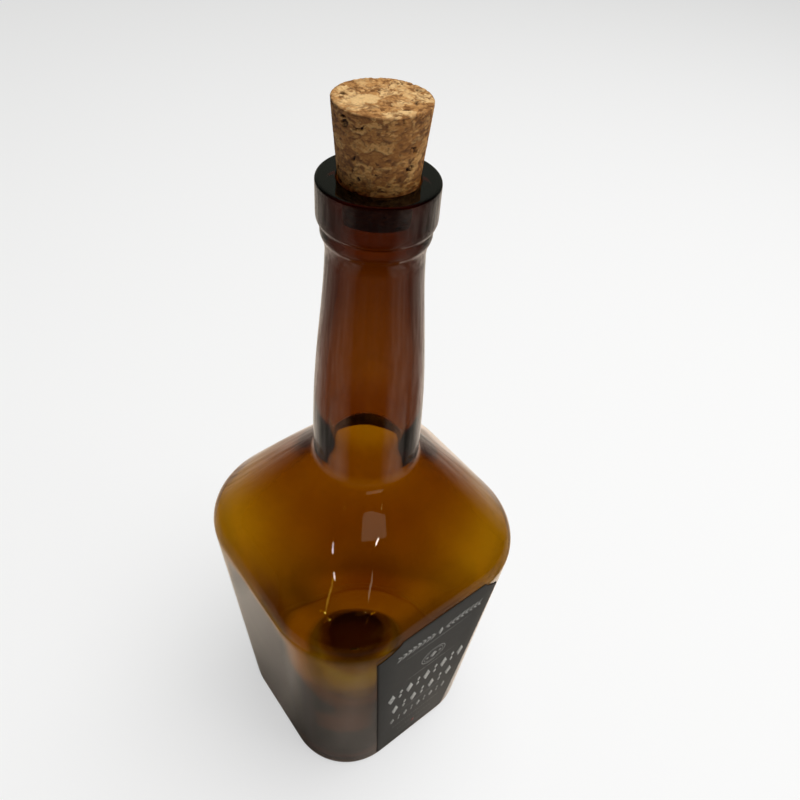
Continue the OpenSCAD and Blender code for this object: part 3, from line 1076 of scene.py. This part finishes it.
def build_floor():
    """A plain pale floor that keeps the shadow; through the glass it shows as a table whose light and
    shadow are painted into its emission.
    """
    floor, graph, shader, output = stage_sheet("floor", FLOOR_Z)
    shader.inputs["Base Color"].default_value = (0.9, 0.9, 0.9, 1)
    path = graph.node("LightPath").outputs
    through = path["Is Transmission Ray"]
    seen = graph.math("MAXIMUM", path["Is Camera Ray"], path["Is Glossy Ray"])
    share = graph.math("MULTIPLY_ADD", seen, FLOOR_GLOW, through, clamp=True)
    place = graph.node("NewGeometry").outputs["Position"]
    glow = graph.node("Emission")
    glow.inputs["Color"].default_value = (1, 1, 1, 1)
    # For rays through the glass the floor's emission is painted light, with a painted shadow under the
    # bottle
    table = painted_table_light(graph, place, graph.vector_math("LENGTH", place))
    shut = graph.math("SUBTRACT", 1.0, through)
    graph.feed(glow.inputs["Strength"], graph.math("MAXIMUM", shut, table))
    graph.mix_shaders(share, shader, glow, output.inputs["Surface"])


def build_world():
    """White for the camera; a dim room for light and reflections, brighter behind the bottle."""
    world = bpy.data.worlds.new("studio")
    bpy.context.scene.world = world
    world.use_nodes = True
    graph = Graph(world.node_tree)
    output = graph.node("OutputWorld")
    white = graph.node("Background")
    white.inputs["Color"].default_value = (1, 1, 1, 1)
    room = graph.node("Background")
    direction = graph.node("TexCoord").outputs["Generated"]
    behind = graph.vector_math("DOT_PRODUCT", direction, BACK)
    graph.feed(room.inputs["Color"], graph.ramp(behind, ROOM_DARK, ROOM_LIGHT))
    split = graph.node("SeparateXYZ")
    graph.feed(split.inputs[0], direction)
    wall = graph.smooth(split.outputs["Z"], WALL_TOP, WALL_TOP - WALL_FADE)
    path = graph.node("LightPath").outputs
    seen = graph.math("MAXIMUM", path["Is Camera Ray"], graph.product(path["Is Transmission Ray"], wall))
    graph.mix_shaders(seen, room, white, output.inputs[0])


def card_dimming(graph, far, ahead, aside, across):
    """How much the card is dimmed to the sides."""
    return graph.product(graph.smooth(across, *DIM_ANGLE), graph.smooth(far, *DIM_FADE),
                         graph.smooth(far, *DIM_START), graph.smooth(aside, *DIM_BY_SIDE),
                         graph.smooth(ahead, *DIM_BY_FRONT))


def build_card():
    """A sheet that only reflections show, its colour painted light and shade for the glass to reflect:
    pale behind the bottle, dark before it and to its sides.
    """
    card, graph, shader, _ = stage_sheet("painted_reflection_card", CARD_Z)
    place = graph.node("NewGeometry").outputs["Position"]
    far = graph.vector_math("LENGTH", place)
    ahead = share_toward(graph, place, far, FRONT)
    aside = share_toward(graph, place, far, RIGHT)
    across = graph.math("ABSOLUTE", aside)
    pale = graph.product(graph.smooth(far, *CARD_BACK), graph.smooth(far, *CARD_BACK_FAR))
    near = graph.math("SUBTRACT", CARD_NEAR, graph.smooth(far, *CARD_FALL))
    dark = graph.product(graph.smooth(ahead, *CARD_AHEAD), near)
    dark = graph.math("ADD", dark, graph.smooth(far, *CARD_FAR_FRONT))
    shade = graph.mix(graph.smooth(ahead, *CARD_TURN), pale, dark)
    flanks = graph.product(graph.smooth(across, *FLANK_ANGLE), graph.smooth(far, *FLANK_START))
    undimmed = graph.math("SUBTRACT", 1.0, card_dimming(graph, far, ahead, aside, across))
    light = graph.product(graph.math("MAXIMUM", shade, flanks), undimmed)
    patchy = graph.smooth(graph.noise(BLOTCH_SCALE, 2.0), *CARD_BLOTCH)
    light = graph.math("MULTIPLY", light, patchy, clamp=True)
    graph.feed(shader.inputs["Base Color"], graph.colour(light, (0, 0, 0, 1), CARD_COLOUR))
    card.visible_camera = False
    card.visible_diffuse = False
    card.visible_transmission = False
    card.visible_shadow = False


def area_lamp(name, place, aim, size, watts, colour=(1, 1, 1)):
    light = bpy.data.lights.new(name, "AREA")
    light.shape = "RECTANGLE"
    light.size, light.size_y = size
    light.energy = watts
    light.color = colour
    lamp = bpy.data.objects.new(name, light)
    bpy.context.scene.collection.objects.link(lamp)
    lamp.location = place
    lamp.rotation_euler = (Vector(aim) - Vector(place)).to_track_quat("-Z", "Y").to_euler()
    lamp.visible_camera = False
    return lamp


def reflected_lamp(name, place, size, radiance, colour):
    """A lamp that only reflections show, facing the shoulder."""
    watts = radiance * math.pi * size[0] * size[1]
    lamp = area_lamp(name, place, SHOULDER_AIM, size, watts, colour)
    lamp.visible_diffuse = False
    lamp.data.use_shadow = False
    return lamp


def streak_lamp(name, low, high, width, radiance, colour):
    """A long thin reflected lamp between two places."""
    low, high = Vector(low), Vector(high)
    place = (low + high) / 2
    lamp = reflected_lamp(name, place, (width, (high - low).length), radiance, colour)
    z = (place - Vector(SHOULDER_AIM)).normalized()
    x = (high - low).cross(z).normalized()
    lamp.rotation_euler = Matrix((x, z.cross(x), z)).transposed().to_euler()


def unit_toward(azimuth, elevation):
    flat = math.cos(elevation)
    return Vector((math.cos(azimuth) * flat, math.sin(azimuth) * flat, math.sin(elevation)))


def build_lights():
    """A soft key light that throws the shadow, and the small lights that the glass reflects."""
    key = area_lamp("key", KEY_PLACE, KEY_AIM, KEY_SIZE, KEY_WATTS)
    key.visible_glossy = False
    key.visible_transmission = False
    place = Vector(SHOULDER_AIM) + WINDOW_REACH * unit_toward(WINDOW_AZIMUTH, WINDOW_ELEVATION)
    window = reflected_lamp("window", place, WINDOW_SIZE, WINDOW_RADIANCE, WINDOW_COLOUR)
    window.rotation_euler.rotate_axis("Z", WINDOW_ROLL)
    for i, spark in enumerate(SPARKS):
        reflected_lamp("spark_%d" % i, *spark)
    for i, streak in enumerate(STREAKS):
        streak_lamp("streak_%d" % i, *streak)


def build_camera():
    """The camera stands at the front left, above the cork, and looks down at the bottle."""
    angles = (CAMERA_TURN, CAMERA_YAW, CAMERA_PITCH, CAMERA_ROLL)
    turn, yaw, pitch, roll = (math.radians(a) for a in angles)
    forward = unit_toward(math.pi / 2 - yaw, -pitch)
    right = Vector((math.cos(yaw), -math.sin(yaw), 0))
    up = right.cross(forward)
    x = right * math.cos(roll) + up * math.sin(roll)
    y = up * math.cos(roll) - right * math.sin(roll)
    data = bpy.data.cameras.new("camera")
    data.sensor_width = SENSOR_MM
    data.lens = LENS_MM
    data.clip_start = 0.01
    camera = bpy.data.objects.new("camera", data)
    bpy.context.scene.collection.objects.link(camera)
    spin = Matrix.Rotation(turn, 4, "Z")
    axes = Matrix((x, y, -forward)).transposed().to_4x4()
    camera.matrix_world = spin @ Matrix.Translation(CAMERA_PLACE) @ axes
    bpy.context.scene.camera = camera


bpy.context.scene.view_settings.view_transform = "Standard"
build_camera()
build_world()
build_lights()
build_floor()
build_card()

bottle = build_bottle()
bottle.data.materials.append(glass_material())
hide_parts("bottle")
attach(bottle, "glass")

cork = build_cork()
cork.data.materials.append(cork_material())
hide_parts("cork_stopper")
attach(cork, "cork")

label = build_label()
label.data.materials.append(paper_material())
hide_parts("front_label")
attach(label, "glass")

pale_print, red_mark = build_print()
for part, colour in ((pale_print, PALE_INK), (red_mark, RED_INK)):
    part.data.materials.append(ink_material(part.name, colour))
    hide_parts("front_label")
    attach(part, "glass")
